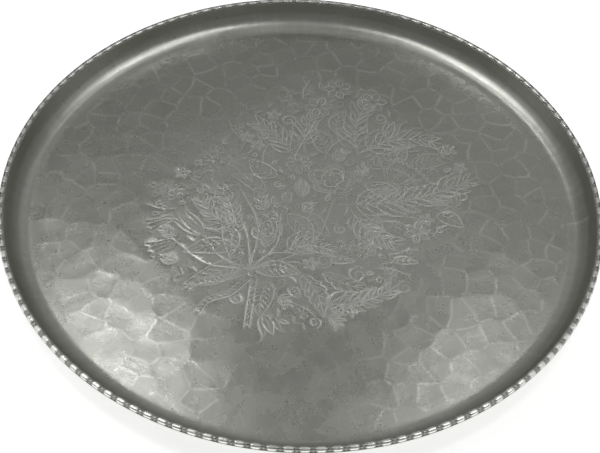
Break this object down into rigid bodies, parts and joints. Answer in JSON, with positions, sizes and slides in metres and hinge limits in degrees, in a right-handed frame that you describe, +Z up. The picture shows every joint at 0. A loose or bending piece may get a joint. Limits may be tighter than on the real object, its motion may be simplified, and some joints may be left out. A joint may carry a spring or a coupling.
{
  "type": "paten plate",
  "caption": "Shallow round hammered-aluminium plate with a coved wall, a beaded rim and a flower spray chased in the middle.",
  "frame": {"origin": "centre of the flat underside, on the surface that the plate stands on", "axes": "+Z up, along the plate's axis; -Y is the side nearest the viewer"},
  "size_m": [0.356, 0.356, 0.0183],
  "materials": {
    "hammered_sheet": "hammered and hand polished, dulled by age",
    "wire": "drawn wire, plain",
    "bright_border": "pressed beads, polished on the crests, dark in the grooves"
  },
  "bodies": {
    "root": {"dish": "hammered_sheet", "core_wire": "wire", "bead_border": "bright_border"}
  },
  "joints": []
}
